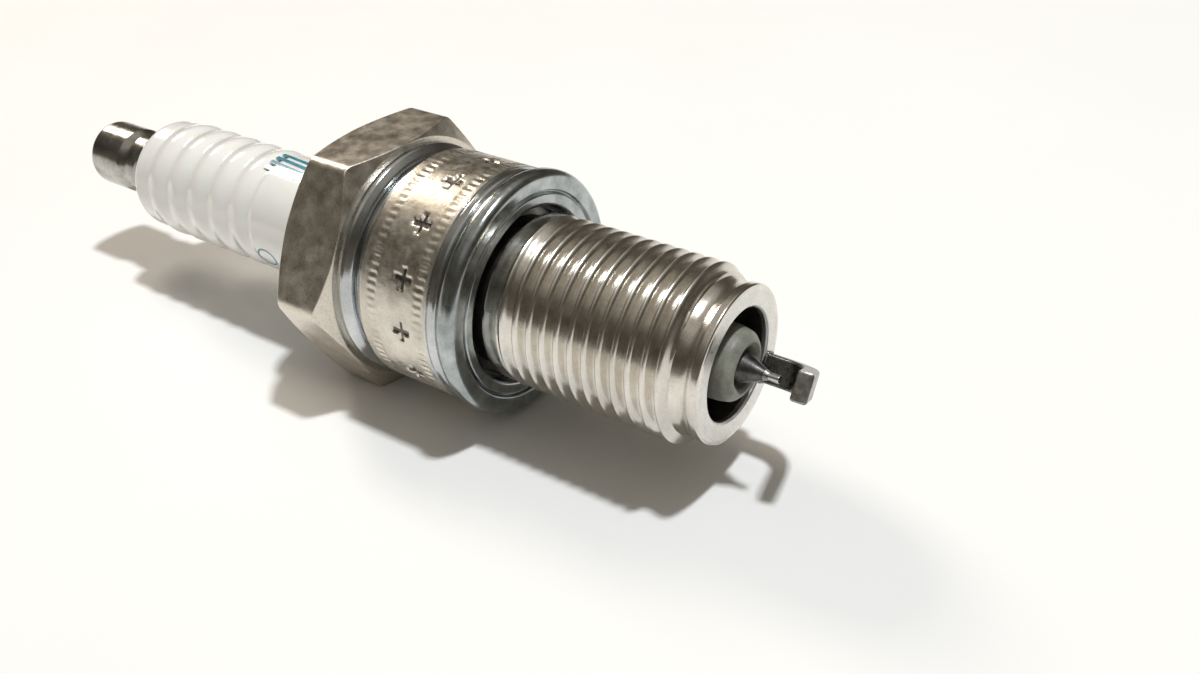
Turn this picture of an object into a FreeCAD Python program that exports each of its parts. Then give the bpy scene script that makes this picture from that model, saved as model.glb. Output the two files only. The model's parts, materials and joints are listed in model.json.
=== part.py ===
"""Spark plug, M14 x 1.25, gasket seat, removable terminal nut, fine-wire centre electrode.

Frame: the plug lies on one flat of its hexagon. +X runs along the axis towards the firing end,
+Z is up, and the origin is on the axis in the plane of the new gasket's sealing face.
Every turned piece is an outline of (x, r) points revolved about X. Units are millimetres.
"""
import FreeCAD, Part
import math
import os

# ---- driving dimensions --------------------------------------------------------------
SHELL_END = 18.5            # sealing face of the uncrushed gasket to the end of the shell
THREAD_MAJOR_R = 6.93       # M14 x 1.25, class 6e
THREAD_PITCH = 1.25
THREAD_DEPTH = 0.73
THREAD_FIRST = 1.8          # first full crest
THREAD_CREST_COUNT = 12
THREAD_RUN_IN = 0.8
NECK_R = 6.12               # undercut that keeps the gasket
END_RIM_R = 6.15
FIRING_BORE_R = 4.4

HEX_FLATS = 20.8            # across flats
HEX_REAR = -17.7
HEX_FRONT = -12.0
HEX_CORNER_RADIUS = 1.0
HEX_CHAMFER_ANGLE = 30.0

BARREL_R = 9.8
BARREL_REAR = -9.6
GASKET_THICKNESS = 1.9
GASKET_R = 10.1
SHELL_SEAT = -GASKET_THICKNESS
SHELL_BORE_R = 7.6          # holds the insulator's flange and the talc
BODY_BORE_R = 4.75          # through the threaded reach
LEDGE_R = 3.95              # ring inside the reach that the insulator seats on
CRIMP_TIP = -20.0

INSULATOR_REAR = -44.2
INSULATOR_R = 5.4           # barrel that the rubber boot grips
INSULATOR_NECK_R = 5.2      # under the crimp and inside the talc
NOSE_END = SHELL_END + 0.7
NOSE_R = 2.85
RIB_COUNT = 5
RIB_PITCH = 2.8
RIB_FIRST = -29.2           # crest of the rib nearest the hexagon
RIB_CREST_R = 5.4
RIB_VALLEY_R = 5.05
CORE_BORE_R = 2.0           # insulator bore round the stud, seals and resistor
ELECTRODE_BORE_R = 1.35

TERMINAL_END = -53.5
TERMINAL_R = 3.175          # 6.35 mm solid terminal
STUD_THREAD_R = 1.98        # M4
STUD_PITCH = 0.7
STUD_THREAD_DEPTH = 0.4
STUD_CREST_COUNT = 8
STUD_END = -50.8
NUT_BORE_R = 2.05
NUT_SEAT = -44.95

TIP_END = SHELL_END + 3.3
TIP_R = 0.3                 # 0.6 mm wire
TIP_LENGTH = 1.2            # in front of the cone, its weld included
TIP_WELD_END = TIP_END - TIP_LENGTH + 0.4
SPARK_GAP = 1.1
STRAP_ANGLE = -32.0         # side of the rim that the strap stands on, from +Y towards +Z
STRAP_WIDTH = 2.3
STRAP_THICKNESS = 1.25
STRAP_INNER_R = 4.5         # inner face of the strap where it is welded to the rim
STRAP_FREE_R = -0.4         # free end, just past the axis
STRAP_BEND_R = 1.8
STRAP_BEND = 75.0           # the arm stops 15 degrees short of square to the axis
WELD_LEG = 0.3

AXIS = FreeCAD.Vector(1, 0, 0)
ORIGIN = FreeCAD.Vector(0, 0, 0)


# ---- helpers -------------------------------------------------------------------------
def arc(middle, end):
    """A step of an outline that reaches its end on the arc through a middle point."""
    return {"middle": middle, "end": end}


def rounded_edge(x_face, r, radius, outwards):
    """Steps along a wall at r onto an end face at x_face, with a tangent quarter round between.

    outwards is +1 if the face looks along +X and -1 if it looks along -X.
    """
    start_x = x_face - outwards * radius
    cut = radius * (1 - math.sqrt(0.5))
    return [(start_x, r), arc((x_face - outwards * cut, r - cut), (x_face, r - radius))]


def outline_face(start, *steps):
    """Planar face in XY from a start point, then straight steps (x, y) or arcs, closed back."""
    def point(p):
        return FreeCAD.Vector(p[0], p[1], 0)

    here = start
    edges = []
    for step in list(steps) + [start]:
        end = step["end"] if isinstance(step, dict) else step
        if math.dist(here, end) < 1e-9:
            continue
        if isinstance(step, dict):
            edges.append(Part.Arc(point(here), point(step["middle"]), point(end)).toShape())
        else:
            edges.append(Part.makeLine(point(here), point(end)))
        here = end
    return Part.Face(Part.Wire(edges))


def turned(start, *steps):
    """Solid of revolution about X from an (x, r) outline."""
    return outline_face(start, *steps).revolve(ORIGIN, AXIS, 360)


def cylinder(radius, x_from, x_to):
    return Part.makeCylinder(radius, x_to - x_from, FreeCAD.Vector(x_from, 0, 0), AXIS)


def wire_ring(x, ring_r, wire_r):
    return Part.makeTorus(ring_r, wire_r, FreeCAD.Vector(x, 0, 0), AXIS)


def thread_crests(major_r, pitch, depth, first, count):
    """Outline points of a 60 degree thread form: flat crests at the major radius, flat roots.

    Each crest is a closed ring at the true pitch, so the wall stays an exact cylinder.
    """
    half_crest = pitch / 14
    flank = depth * math.tan(math.radians(30))
    points = []
    for k in range(count):
        x = first + k * pitch
        points += [
            (x - half_crest - flank, major_r - depth), (x - half_crest, major_r),
            (x + half_crest, major_r), (x + half_crest + flank, major_r - depth),
        ]
    return points


# ---- shell and gasket ----------------------------------------------------------------
def hexagon():
    """Hexagon with a flat facing down, rounded corners and 30 degree chamfers on both faces."""
    corner_r = HEX_FLATS / 2 / math.cos(math.radians(30))
    corners = []
    for k in range(6):
        angle = math.radians(60 * k)
        corners.append(FreeCAD.Vector(HEX_REAR, corner_r * math.cos(angle), corner_r * math.sin(angle)))
    face = Part.Face(Part.makePolygon(corners + corners[:1]))
    prism = face.extrude(AXIS * (HEX_FRONT - HEX_REAR))
    long_edges = [e for e in prism.Edges if abs(e.tangentAt(e.FirstParameter).x) > 0.99]
    prism = prism.makeFillet(HEX_CORNER_RADIUS, long_edges)
    face_r = HEX_FLATS / 2 - 0.1
    rise = (corner_r - face_r) * math.tan(math.radians(HEX_CHAMFER_ANGLE))
    chamfered = turned(
        (HEX_REAR, 0), (HEX_REAR, face_r), (HEX_REAR + rise, corner_r),
        (HEX_FRONT - rise, corner_r), (HEX_FRONT, face_r), (HEX_FRONT, 0),
    )
    return prism.common(chamfered).cut(cylinder(SHELL_BORE_R, HEX_REAR, HEX_FRONT))


def shell_blank():
    """Shell without its hexagon: crimp, collar, barrel, neck, threaded reach and stepped bore."""
    crests = thread_crests(THREAD_MAJOR_R, THREAD_PITCH, THREAD_DEPTH, THREAD_FIRST, THREAD_CREST_COUNT)
    crests[0] = (crests[1][0] - THREAD_RUN_IN, NECK_R)
    crests[-1] = (crests[-2][0] + THREAD_RUN_IN, NECK_R)
    return turned(
        (HEX_FRONT, 9.75),
        arc((-11.25, 9.55), (-10.9, 8.95)),
        (-10.85, 8.8), (-10.55, 8.8), (-10.5, 9.25), (-10.0, 9.25), (BARREL_REAR - 0.3, 9.5),
        (BARREL_REAR, BARREL_R), (SHELL_SEAT - 0.95, BARREL_R), (SHELL_SEAT - 0.85, BARREL_R - 0.15),
        (SHELL_SEAT - 0.75, BARREL_R - 0.05), *rounded_edge(SHELL_SEAT, BARREL_R - 0.05, 0.6, 1),
        (SHELL_SEAT, NECK_R), *crests,
        arc((SHELL_END - 1.2, 5.92), (SHELL_END - 0.6, END_RIM_R)),
        *rounded_edge(SHELL_END, END_RIM_R, 0.4, 1),
        (SHELL_END, FIRING_BORE_R + 0.15), (SHELL_END - 0.15, FIRING_BORE_R),
        (8.0, FIRING_BORE_R), (7.4, LEDGE_R), (6.15, LEDGE_R), (5.35, BODY_BORE_R),
        (-2.3, BODY_BORE_R), (-4.9, SHELL_BORE_R), (-18.3, SHELL_BORE_R),
        arc((-18.75, 7.1), (-19.1, 6.3)),
        (-19.2, 5.65), (CRIMP_TIP, 5.75), (CRIMP_TIP, 6.6),
        arc((-19.5, 8.0), (-18.3, 8.7)),
        (HEX_REAR, 8.7), (HEX_FRONT, 8.7),
    )


def metal_shell():
    return shell_blank().fuse(hexagon()).removeSplitter()


def gasket():
    """Folded steel ring: round outer fold, sealing land, groove, inner bead and a captive lip."""
    back = SHELL_SEAT
    fold_root_r = GASKET_R - 0.7
    lip_r = NECK_R + 0.48
    return turned(
        (back, 7.15), (back, fold_root_r),
        arc((back / 2, GASKET_R), (0, fold_root_r)),
        (0, 8.6), (-0.35, 8.4), (-0.12, 8.15), (-0.12, 7.75),
        arc((-0.45, 7.35), (-1.1, 7.15)),
        (-1.2, lip_r), (-1.6, lip_r),
    )


# ---- insulator and what it holds ------------------------------------------------------
def insulator():
    ribs = [(RIB_FIRST + RIB_PITCH / 2, RIB_VALLEY_R)]
    for k in range(RIB_COUNT):
        crest = RIB_FIRST - k * RIB_PITCH
        ribs.append(arc((crest, RIB_CREST_R), (crest - RIB_PITCH / 2, RIB_VALLEY_R)))
    ribs_end = RIB_FIRST - (RIB_COUNT - 0.5) * RIB_PITCH
    return turned(
        (NOSE_END, ELECTRODE_BORE_R + 0.35),
        (NOSE_END, NOSE_R - 0.9),
        arc((NOSE_END - 0.25, NOSE_R - 0.25), (NOSE_END - 1.0, NOSE_R)),
        (6.6, 3.5), (6.05, 3.75), (5.2, 4.6), (-2.6, 4.65), (-5.0, 7.45), (-9.6, 7.45),
        (-11.2, INSULATOR_NECK_R), (-20.3, INSULATOR_NECK_R), (-20.4, INSULATOR_R),
        (RIB_FIRST + RIB_PITCH / 2 + 0.5, INSULATOR_R),
        *ribs,
        (ribs_end - 0.4, RIB_CREST_R - 0.2), *rounded_edge(INSULATOR_REAR, RIB_CREST_R - 0.2, 1.1, -1),
        (INSULATOR_REAR, CORE_BORE_R), (3.0, CORE_BORE_R),
        (3.0 + CORE_BORE_R - ELECTRODE_BORE_R, ELECTRODE_BORE_R),
        (NOSE_END - 0.35, ELECTRODE_BORE_R),
    )


def terminal_stud():
    """M4 thread, seating flange, plain shank and a thinner grooved tail in the glass."""
    tail = [(-13.0, 0), (-13.0, 1.45), (-13.25, 1.6)]
    for x in (-14.0, -15.0):
        tail += [(x + 0.3, 1.6), (x + 0.2, 1.45), (x - 0.2, 1.45), (x - 0.3, 1.6)]
    crests = thread_crests(STUD_THREAD_R, STUD_PITCH, STUD_THREAD_DEPTH, STUD_END + 0.45, STUD_CREST_COUNT)
    crests.reverse()
    root_r = STUD_THREAD_R - STUD_THREAD_DEPTH
    return turned(
        (STUD_END, 0), *tail, (-16.1, 1.6), (-16.1, 1.95), (INSULATOR_REAR, 1.95),
        (INSULATOR_REAR, 2.7), (NUT_SEAT + 0.05, 2.7), (NUT_SEAT + 0.05, root_r), *crests,
        (STUD_END, root_r),
    )


def terminal_nut():
    """Solid-post terminal: foot, shallow waist and a 6.35 mm head, drilled right through."""
    chamfer = 0.35
    return turned(
        (NUT_SEAT, NUT_BORE_R + chamfer), (NUT_SEAT, 2.75), (NUT_SEAT - 0.3, 3.05), (-46.3, 3.05),
        arc((-47.7, 2.8), (-49.1, 3.1)),
        (-49.3, TERMINAL_R), *rounded_edge(TERMINAL_END, TERMINAL_R, 0.8, -1),
        (TERMINAL_END, NUT_BORE_R + 0.2), (TERMINAL_END + 0.2, NUT_BORE_R),
        (NUT_SEAT - chamfer, NUT_BORE_R),
    )


def upper_glass_seal():
    """Conductive glass round the stud's tail; it fills the tail's grooves."""
    blank = cylinder(CORE_BORE_R, -16.1, -8.5)
    return blank.cut(terminal_stud())


def resistor():
    return cylinder(CORE_BORE_R, -8.5, -1.5)


def lower_glass_seal():
    return turned((-1.5, 0), (-1.5, CORE_BORE_R), (3.0, CORE_BORE_R), (3.0, 1.7), (1.6, 1.7), (1.6, 0))


def centre_electrode():
    """Nickel-alloy sheath: head on the insulator's inner step, shank, and a cone in front of the nose."""
    core_r = 0.8
    return turned(
        (1.6, core_r), (1.6, 1.7), (3.3, 1.7), (3.7, 1.3), (3.75, 1.25), (NOSE_END - 0.3, 1.25),
        (TIP_END - TIP_LENGTH, TIP_R + 0.15), (TIP_END - TIP_LENGTH, 0), (17.0, 0), (17.0, core_r),
    )


def copper_core():
    return cylinder(0.8, 1.6, 17.0)


def electrode_tip():
    return cylinder(TIP_R, TIP_WELD_END, TIP_END)


def tip_weld():
    """Melted zone between the cone and the wire, tapering from one to the other."""
    base = TIP_END - TIP_LENGTH
    return turned((base, 0), (base, TIP_R + 0.15), (TIP_WELD_END, TIP_R), (TIP_WELD_END, 0))


# ---- seals between insulator and shell --------------------------------------------------
def seat_washer():
    """Soft steel washer between the insulator's front step and the shell's ledge, both at 45 degrees."""
    thickness = 0.3
    return turned((5.25, 4.55), (5.8, 4.0), (5.8 + thickness, 4.0), (5.25 + thickness, 4.55))


def lower_packing_ring():
    return wire_ring(-10.71, 7.0, 0.57)


def talc_ring():
    inner_r = INSULATOR_NECK_R + 0.02
    return turned((-17.2, inner_r), (-17.2, 7.58), (-11.5, 7.58), (-11.5, inner_r))


def upper_packing_ring():
    return wire_ring(-17.85, 6.95, 0.57)


# ---- ground electrode -------------------------------------------------------------------
def on_strap_side(shape):
    """Turns a shape drawn on the +Y side round to the side of the rim that holds the strap."""
    return shape.rotated(ORIGIN, AXIS, STRAP_ANGLE)


def ground_electrode():
    """Strap butt-welded to the rim and bent over the tip. Its side view is drawn in XY.

    The gap is measured on the axis, between the tip's end and the arm's inner face.
    """
    bend = math.radians(STRAP_BEND)
    centre_y = STRAP_INNER_R - STRAP_BEND_R
    bend_end_y = centre_y + STRAP_BEND_R * math.cos(bend)
    slope = 1 / math.tan(bend)
    arm_x = TIP_END + SPARK_GAP
    centre_x = arm_x - bend_end_y * slope - STRAP_BEND_R * math.sin(bend)

    def on_bend(radius, angle):
        return (centre_x + radius * math.sin(angle), centre_y + radius * math.cos(angle))

    outer_bend = STRAP_BEND_R + STRAP_THICKNESS
    inner_end = (arm_x - STRAP_FREE_R * slope, STRAP_FREE_R)
    outer_end = (
        inner_end[0] + STRAP_THICKNESS * math.sin(bend),
        inner_end[1] + STRAP_THICKNESS * math.cos(bend),
    )
    side = outline_face(
        (SHELL_END, STRAP_INNER_R), on_bend(STRAP_BEND_R, 0),
        arc(on_bend(STRAP_BEND_R, bend / 2), on_bend(STRAP_BEND_R, bend)),
        inner_end, outer_end, on_bend(outer_bend, bend),
        arc(on_bend(outer_bend, bend / 2), on_bend(outer_bend, 0)),
        (SHELL_END, STRAP_INNER_R + STRAP_THICKNESS),
    )
    side.translate(FreeCAD.Vector(0, 0, -STRAP_WIDTH / 2))
    return on_strap_side(side.extrude(FreeCAD.Vector(0, 0, STRAP_WIDTH)))


def ground_electrode_weld(shell, strap):
    """Upset bead squeezed out round the strap's foot; it follows the rounded edge of the rim."""
    low = FreeCAD.Vector(SHELL_END - 0.2, STRAP_INNER_R + 0.1, -STRAP_WIDTH / 2 - WELD_LEG)
    bead = Part.makeBox(
        0.2 + WELD_LEG, STRAP_THICKNESS + 0.1, STRAP_WIDTH + 2 * WELD_LEG, low
    )
    top_edges = [e for e in bead.Edges if e.BoundBox.XMin > SHELL_END]
    bead = bead.makeChamfer(WELD_LEG / 2, top_edges)
    return on_strap_side(bead).cut(shell).cut(strap)


def build():
    shell = metal_shell()
    strap = ground_electrode()
    return {
        "metal_shell": shell,
        "gasket": gasket(),
        "insulator": insulator(),
        "terminal_nut": terminal_nut(),
        "terminal_stud": terminal_stud(),
        "upper_glass_seal": upper_glass_seal(),
        "resistor": resistor(),
        "lower_glass_seal": lower_glass_seal(),
        "centre_electrode": centre_electrode(),
        "copper_core": copper_core(),
        "electrode_tip": electrode_tip(),
        "tip_weld": tip_weld(),
        "seat_washer": seat_washer(),
        "lower_packing_ring": lower_packing_ring(),
        "talc_ring": talc_ring(),
        "upper_packing_ring": upper_packing_ring(),
        "ground_electrode": strap,
        "ground_electrode_weld": ground_electrode_weld(shell, strap),
    }


def write_parts(parts):
    os.makedirs("parts", exist_ok=True)
    for name, shape in parts.items():
        solids = shape.Solids
        print(f"{name:24s} solids {len(solids)} valid {shape.isValid()} volume {shape.Volume:9.3f} mm3")
        kept = solids[0] if len(solids) == 1 else shape
        kept.exportStep(f"parts/{name}.step")


write_parts(build())
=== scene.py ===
"""Looks of the spark plug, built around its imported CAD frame.

Frame: +X to the firing end, +Z up, origin on the axis in the gasket's sealing plane.
Outlines are (x, r) points in millimetres; angles run from +Y towards +Z. Meshes are in metres.
"""
import json
import math

import bmesh
import bpy
import numpy as np
from mathutils import Matrix, Vector, noise

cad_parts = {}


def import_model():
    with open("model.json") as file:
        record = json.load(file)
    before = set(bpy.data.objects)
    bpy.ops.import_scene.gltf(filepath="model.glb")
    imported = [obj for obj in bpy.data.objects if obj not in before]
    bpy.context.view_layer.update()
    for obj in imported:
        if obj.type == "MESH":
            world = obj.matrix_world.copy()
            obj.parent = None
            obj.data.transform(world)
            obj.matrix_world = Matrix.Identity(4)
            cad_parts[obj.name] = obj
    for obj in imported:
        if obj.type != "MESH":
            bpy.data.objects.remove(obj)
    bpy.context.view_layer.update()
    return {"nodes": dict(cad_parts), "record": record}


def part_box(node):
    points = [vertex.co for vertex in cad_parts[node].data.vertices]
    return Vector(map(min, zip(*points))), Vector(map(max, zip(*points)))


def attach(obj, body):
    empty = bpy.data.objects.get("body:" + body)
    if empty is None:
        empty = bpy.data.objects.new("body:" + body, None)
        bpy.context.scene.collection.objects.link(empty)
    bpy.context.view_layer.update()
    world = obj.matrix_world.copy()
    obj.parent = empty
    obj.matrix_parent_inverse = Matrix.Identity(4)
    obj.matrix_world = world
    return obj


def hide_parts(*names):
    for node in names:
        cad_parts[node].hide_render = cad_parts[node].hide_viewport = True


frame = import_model()
MM = 0.001
TAU = 2 * math.pi


# ---- places and sizes: from the frame where a box or a mount has them -----------------
def span(node):
    """Lowest and highest corner of a CAD node in millimetres."""
    low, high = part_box(node)
    return low / MM, high / MM


MOUNT_R = {m["name"]: m["dims"].get("r_mm") for m in frame["record"]["mounts"]}
shell_low, shell_high = span("metal_shell")
gasket_low, gasket_high = span("gasket")
insulator_low, insulator_high = span("insulator")
nut_low, nut_high = span("terminal_nut")
stud_low, stud_high = span("terminal_stud")
tip_low, tip_high = span("electrode_tip")
weld_low, weld_high = span("tip_weld")
FLOOR_Z = shell_low.z
HEX_APOTHEM = -shell_low.z
SHELL_END = shell_high.x
CRIMP_TIP = shell_low.x
GASKET_BACK = gasket_low.x
GASKET_R = gasket_high.z
THREAD_R = MOUNT_R["thread"]
BARREL_R = 9.8
NECK_R = 6.12
BORE_R = 4.4
HEX_REAR, HEX_FRONT = -17.7, -12.0
INSULATOR_R = MOUNT_R["boot_barrel"]
INSULATOR_REAR = insulator_low.x
NOSE_END = insulator_high.x
TERMINAL_R = MOUNT_R["terminal_post"]


# ---- outlines ---------------------------------------------------------------------------
def rounded(*corners, step=14, guard=0.03):
    """Points of an open outline of (x, r) or (x, r, fillet) corners, each fillet a tangent arc.

    A guard point on each side of a fillet keeps the smooth shading inside it.
    """
    points = [corners[0][:2]]
    for before, corner, after in zip(corners, corners[1:], corners[2:]):
        p = np.array(corner[:2], float)
        if len(corner) < 3:
            points.append(tuple(p))
            continue
        a, b = np.array(before[:2]) - p, np.array(after[:2]) - p
        length_a, length_b = np.linalg.norm(a), np.linalg.norm(b)
        a, b = a / length_a, b / length_b
        half = 0.5 * math.acos(float(np.clip(a @ b, -1, 1)))
        run = min(corner[2] / math.tan(half), 0.46 * length_a, 0.46 * length_b)
        radius = run * math.tan(half)
        centre = p + (a + b) / np.linalg.norm(a + b) * radius / math.sin(half)
        turn = math.pi - 2 * half
        sign = 1.0 if a[0] * b[1] - a[1] * b[0] < 0 else -1.0
        count = max(2, math.ceil(math.degrees(turn) / step - 0.001))
        start = p + a * run - centre
        points.append(tuple(p + a * (run + min(guard, 0.03 * length_a))))
        for k in range(count + 1):
            t = sign * turn * k / count
            c, s = math.cos(t), math.sin(t)
            points.append((centre[0] + c * start[0] - s * start[1],
                           centre[1] + s * start[0] + c * start[1]))
        points.append(tuple(p + b * (run + min(guard, 0.03 * length_b))))
    points.append(corners[-1][:2])
    return points


def smooth_step(edge0, edge1, x):
    t = np.clip((x - edge0) / (edge1 - edge0), 0, 1)
    return t * t * (3 - 2 * t)


# ---- meshes -------------------------------------------------------------------------------
class Skin:
    """Points, faces and material numbers of one piece, gathered patch by patch."""

    def __init__(self):
        self.points, self.faces, self.slots, self.count = [], [], [], 0

    def add(self, points, faces, slot=0):
        self.points.append(np.asarray(points, float).reshape(-1, 3))
        self.faces += [tuple(i + self.count for i in face) for face in faces]
        self.slots += [slot] * len(faces)
        self.count += len(self.points[-1])

    def rings(self, x, r, angle, slot=0, seam_shift=0):
        """Closed grid of rings; x, r and angle have the shape (rows, columns).

        seam_shift is the number of rows that a helix climbs in one turn.
        """
        x, r, angle = np.broadcast_arrays(x, r, angle)
        rows, columns = x.shape
        faces = []
        for i in range(rows - 1):
            for j in range(columns):
                last = j == columns - 1
                k, shift = (0, seam_shift) if last else (j + 1, 0)
                low, high = min(i + shift, rows - 1), min(i + 1 + shift, rows - 1)
                faces.append((i * columns + j, low * columns + k, high * columns + k,
                              (i + 1) * columns + j))
        points = np.stack([x, r * np.cos(angle), r * np.sin(angle)], -1)
        self.add(points, faces, slot)

    def turned(self, outline, columns, slot=0):
        """Rings of one (x, r) outline."""
        outline = np.array(outline)
        angle = np.arange(columns) * TAU / columns
        self.rings(outline[:, :1], outline[:, 1:], angle[None], slot)

    def stitch(self, x0, r0, coarse, x1, r1, ratio, slot=0):
        """Ring of triangles from `coarse` columns to `ratio` times as many; ratio is 3."""
        fine = coarse * ratio
        a = np.arange(coarse) * TAU / coarse
        b = np.arange(fine) * TAU / fine
        points = [(x0, r0 * math.cos(t), r0 * math.sin(t)) for t in a]
        points += [(x1, r1 * math.cos(t), r1 * math.sin(t)) for t in b]
        faces = []
        for j in range(coarse):
            k = (j + 1) % coarse
            f = [coarse + (ratio * j + n) % fine for n in range(ratio + 1)]
            faces += [(j, f[1], f[0]), (j, k, f[2], f[1]), (k, f[3], f[2])]
        self.add(points, faces, slot)

    def piece(self, name, materials, sharp=34.0, weld=2e-7):
        mesh = bpy.data.meshes.new(name)
        points = np.concatenate(self.points) * MM
        mesh.from_pydata(points.tolist(), [], self.faces)
        mesh.polygons.foreach_set("material_index", self.slots)
        work = bmesh.new()
        work.from_mesh(mesh)
        bmesh.ops.remove_doubles(work, verts=work.verts, dist=weld)
        bmesh.ops.dissolve_degenerate(work, edges=work.edges, dist=weld)
        bmesh.ops.recalc_face_normals(work, faces=work.faces)
        work.to_mesh(mesh)
        work.free()
        mesh.polygons.foreach_set("use_smooth", [True] * len(mesh.polygons))
        mesh.set_sharp_from_angle(angle=math.radians(sharp))
        for material in materials:
            mesh.materials.append(material)
        obj = bpy.data.objects.new(name, mesh)
        bpy.context.scene.collection.objects.link(obj)
        return obj


def helix(skin, pitch, tooth, x_from, x_to, limit, phase_x, columns, slot=0, fill=None):
    """Right-hand thread between two ends. tooth is one pitch of (dx, r).

    limit gives the largest r at each x, and fill the smallest.
    """
    tooth = np.array(tooth)
    turns_from = math.floor((x_from - phase_x) / pitch) - 1
    turns_to = math.ceil((x_to - phase_x) / pitch) + 1
    turns = np.arange(turns_from, turns_to)
    dx = (turns[:, None] * pitch + tooth[None, :-1, 0]).ravel()
    r = np.tile(tooth[:-1, 1], len(turns))
    angle = np.arange(columns) * TAU / columns
    x = phase_x + dx[:, None] + pitch * angle[None] / TAU
    clamped = np.clip(x, x_from, x_to)
    r = r[:, None] + 0 * x
    if fill:
        r = np.maximum(r, fill(clamped))
    r = np.minimum(r, limit(clamped))
    skin.rings(clamped, r, angle[None], slot, seam_shift=len(tooth) - 1)


# ---- materials ------------------------------------------------------------------------------
def set_stops(elements, stops):
    """Sets a colour ramp's stops, each of them (position, grey or colour)."""
    while len(elements) < len(stops):
        elements.new(0.5)
    for element, (position, colour) in zip(elements, stops):
        element.position = position
        if isinstance(colour, (int, float)):
            colour = (colour,) * 3
        element.color = (*colour, 1)


class Shader:
    """A small wrapper that makes a node material on object coordinates in millimetres."""

    def __init__(self, name, **sockets):
        self.material = bpy.data.materials.new(name)
        self.material.use_nodes = True
        self.tree = self.material.node_tree
        self.bsdf = self.tree.nodes["Principled BSDF"]
        for key, value in sockets.items():
            self.bsdf.inputs[key.replace("_", " ")].default_value = value
        self.where = self.tree.nodes.new("ShaderNodeTexCoord").outputs["Object"]

    def node(self, kind, **settings):
        node = self.tree.nodes.new("ShaderNode" + kind)
        for key, value in settings.items():
            if hasattr(node, key):
                setattr(node, key, value)
            else:
                self.plug(value, node.inputs[key.replace("_", " ")])
        return node

    def plug(self, value, socket):
        if isinstance(value, bpy.types.NodeSocket):
            self.tree.links.new(value, socket)
        else:
            socket.default_value = value

    def scaled(self, stretch=(1, 1, 1)):
        """Object coordinates, in millimetres times stretch."""
        scale = tuple(s / MM for s in stretch)
        return self.node("Mapping", Vector=self.where, Scale=scale).outputs[0]

    def noise(self, scale, detail=3.0, stretch=(1, 1, 1), roughness=0.55):
        node = self.node("TexNoise", Vector=self.scaled(stretch), Scale=scale, Detail=detail,
                         Roughness=roughness)
        return node.outputs["Fac"]

    def ramp(self, value, *stops):
        """Colour ramp; each stop is (position, grey or colour)."""
        node = self.node("ValToRGB")
        self.plug(value, node.inputs["Fac"])
        set_stops(node.color_ramp.elements, stops)
        return node.outputs["Color"]

    def mix(self, factor, a, b, blend="MIX"):
        node = self.node("Mix", data_type="RGBA", blend_type=blend)
        colour = [s for s in node.inputs if s.type == "RGBA"]
        self.plug(factor, node.inputs[0])
        for value, socket in zip((a, b), colour):
            self.plug((*value, 1) if isinstance(value, tuple) else value, socket)
        return [s for s in node.outputs if s.type == "RGBA"][0]

    def math(self, operation, a, b):
        node = self.node("Math", operation=operation)
        self.plug(a, node.inputs[0])
        self.plug(b, node.inputs[1])
        return node.outputs[0]

    def radius(self):
        """Distance from the plug's axis in millimetres."""
        parts = self.node("SeparateXYZ", Vector=self.scaled())
        y2 = self.math("MULTIPLY", parts.outputs["Y"], parts.outputs["Y"])
        z2 = self.math("MULTIPLY", parts.outputs["Z"], parts.outputs["Z"])
        return self.math("SQRT", self.math("ADD", y2, z2), 0.0)

    def along(self):
        return self.node("SeparateXYZ", Vector=self.scaled()).outputs["X"]

    def tool_marks(self, scale):
        """Fine turning grooves: noise that changes along the axis and the radius only."""
        place = self.node("CombineXYZ", X=self.along(), Y=self.radius())
        node = self.node("TexNoise", Vector=place.outputs[0], Scale=scale, Detail=4.0)
        return node.outputs["Fac"]

    def bump(self, *layers):
        """Layers of (height, strength, distance in millimetres), one upon the other."""
        normal = None
        for height, strength, distance in layers:
            node = self.node("Bump", Strength=strength, Distance=distance * MM)
            self.plug(height, node.inputs["Height"])
            if normal is not None:
                self.plug(normal, node.inputs["Normal"])
            normal = node.outputs["Normal"]
        self.plug(normal, self.bsdf.inputs["Normal"])

    def set(self, socket, value):
        self.plug(value, self.bsdf.inputs[socket])


def metal(name, light, dark, rough, marks=6.0, mark_depth=0.012, blotch=0.35, peel=0.0):
    """Plated or bare metal: two tones in blotches, uneven gloss, turning marks and fine peel."""
    s = Shader(name, Metallic=1.0)
    cloud = s.noise(blotch, 4.0)
    grain = s.noise(9.0, 3.0)
    tone = s.mix(s.ramp(cloud, (0.36, 0.0), (0.66, 1.0)), dark, light)
    fleck = s.ramp(grain, (0.3, 0.82), (0.62, 1.0))
    s.set("Base Color", s.mix(1.0, tone, fleck, "MULTIPLY"))
    s.set("Roughness", s.ramp(s.noise(blotch * 3, 5.0), (0.3, rough * 0.72), (0.7, rough * 1.3)))
    layers = [(s.tool_marks(marks), 0.5, mark_depth)]
    if peel:
        layers.append((s.noise(2.2, 2.0), 0.6, peel))
    layers.append((grain, 0.25, 0.006))
    s.bump(*layers)
    return s.material


def scratched_hex():
    """Nickel plating on the hexagon: satin and slightly brown, finely scratched and stained."""
    s = Shader("nickel_hexagon", Metallic=1.0)
    stain = s.noise(0.8, 6.0)
    tone = s.mix(s.ramp(stain, (0.35, 0.0), (0.65, 1.0)), (0.65, 0.60, 0.52), (0.76, 0.71, 0.625))
    flecks = s.ramp(s.noise(5.0, 5.0), (0.32, 0.8), (0.5, 1.0))
    s.set("Base Color", s.mix(1.0, tone, flecks, "MULTIPLY"))
    s.set("Roughness", s.ramp(stain, (0.3, 0.26), (0.7, 0.42)))
    s.bump((s.noise(3.0, 4.0, (4.0, 0.35, 0.35)), 0.45, 0.02), (s.noise(2.0, 5.0), 0.5, 0.03),
           (s.noise(14.0, 2.0), 0.3, 0.008))
    return s.material


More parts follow.
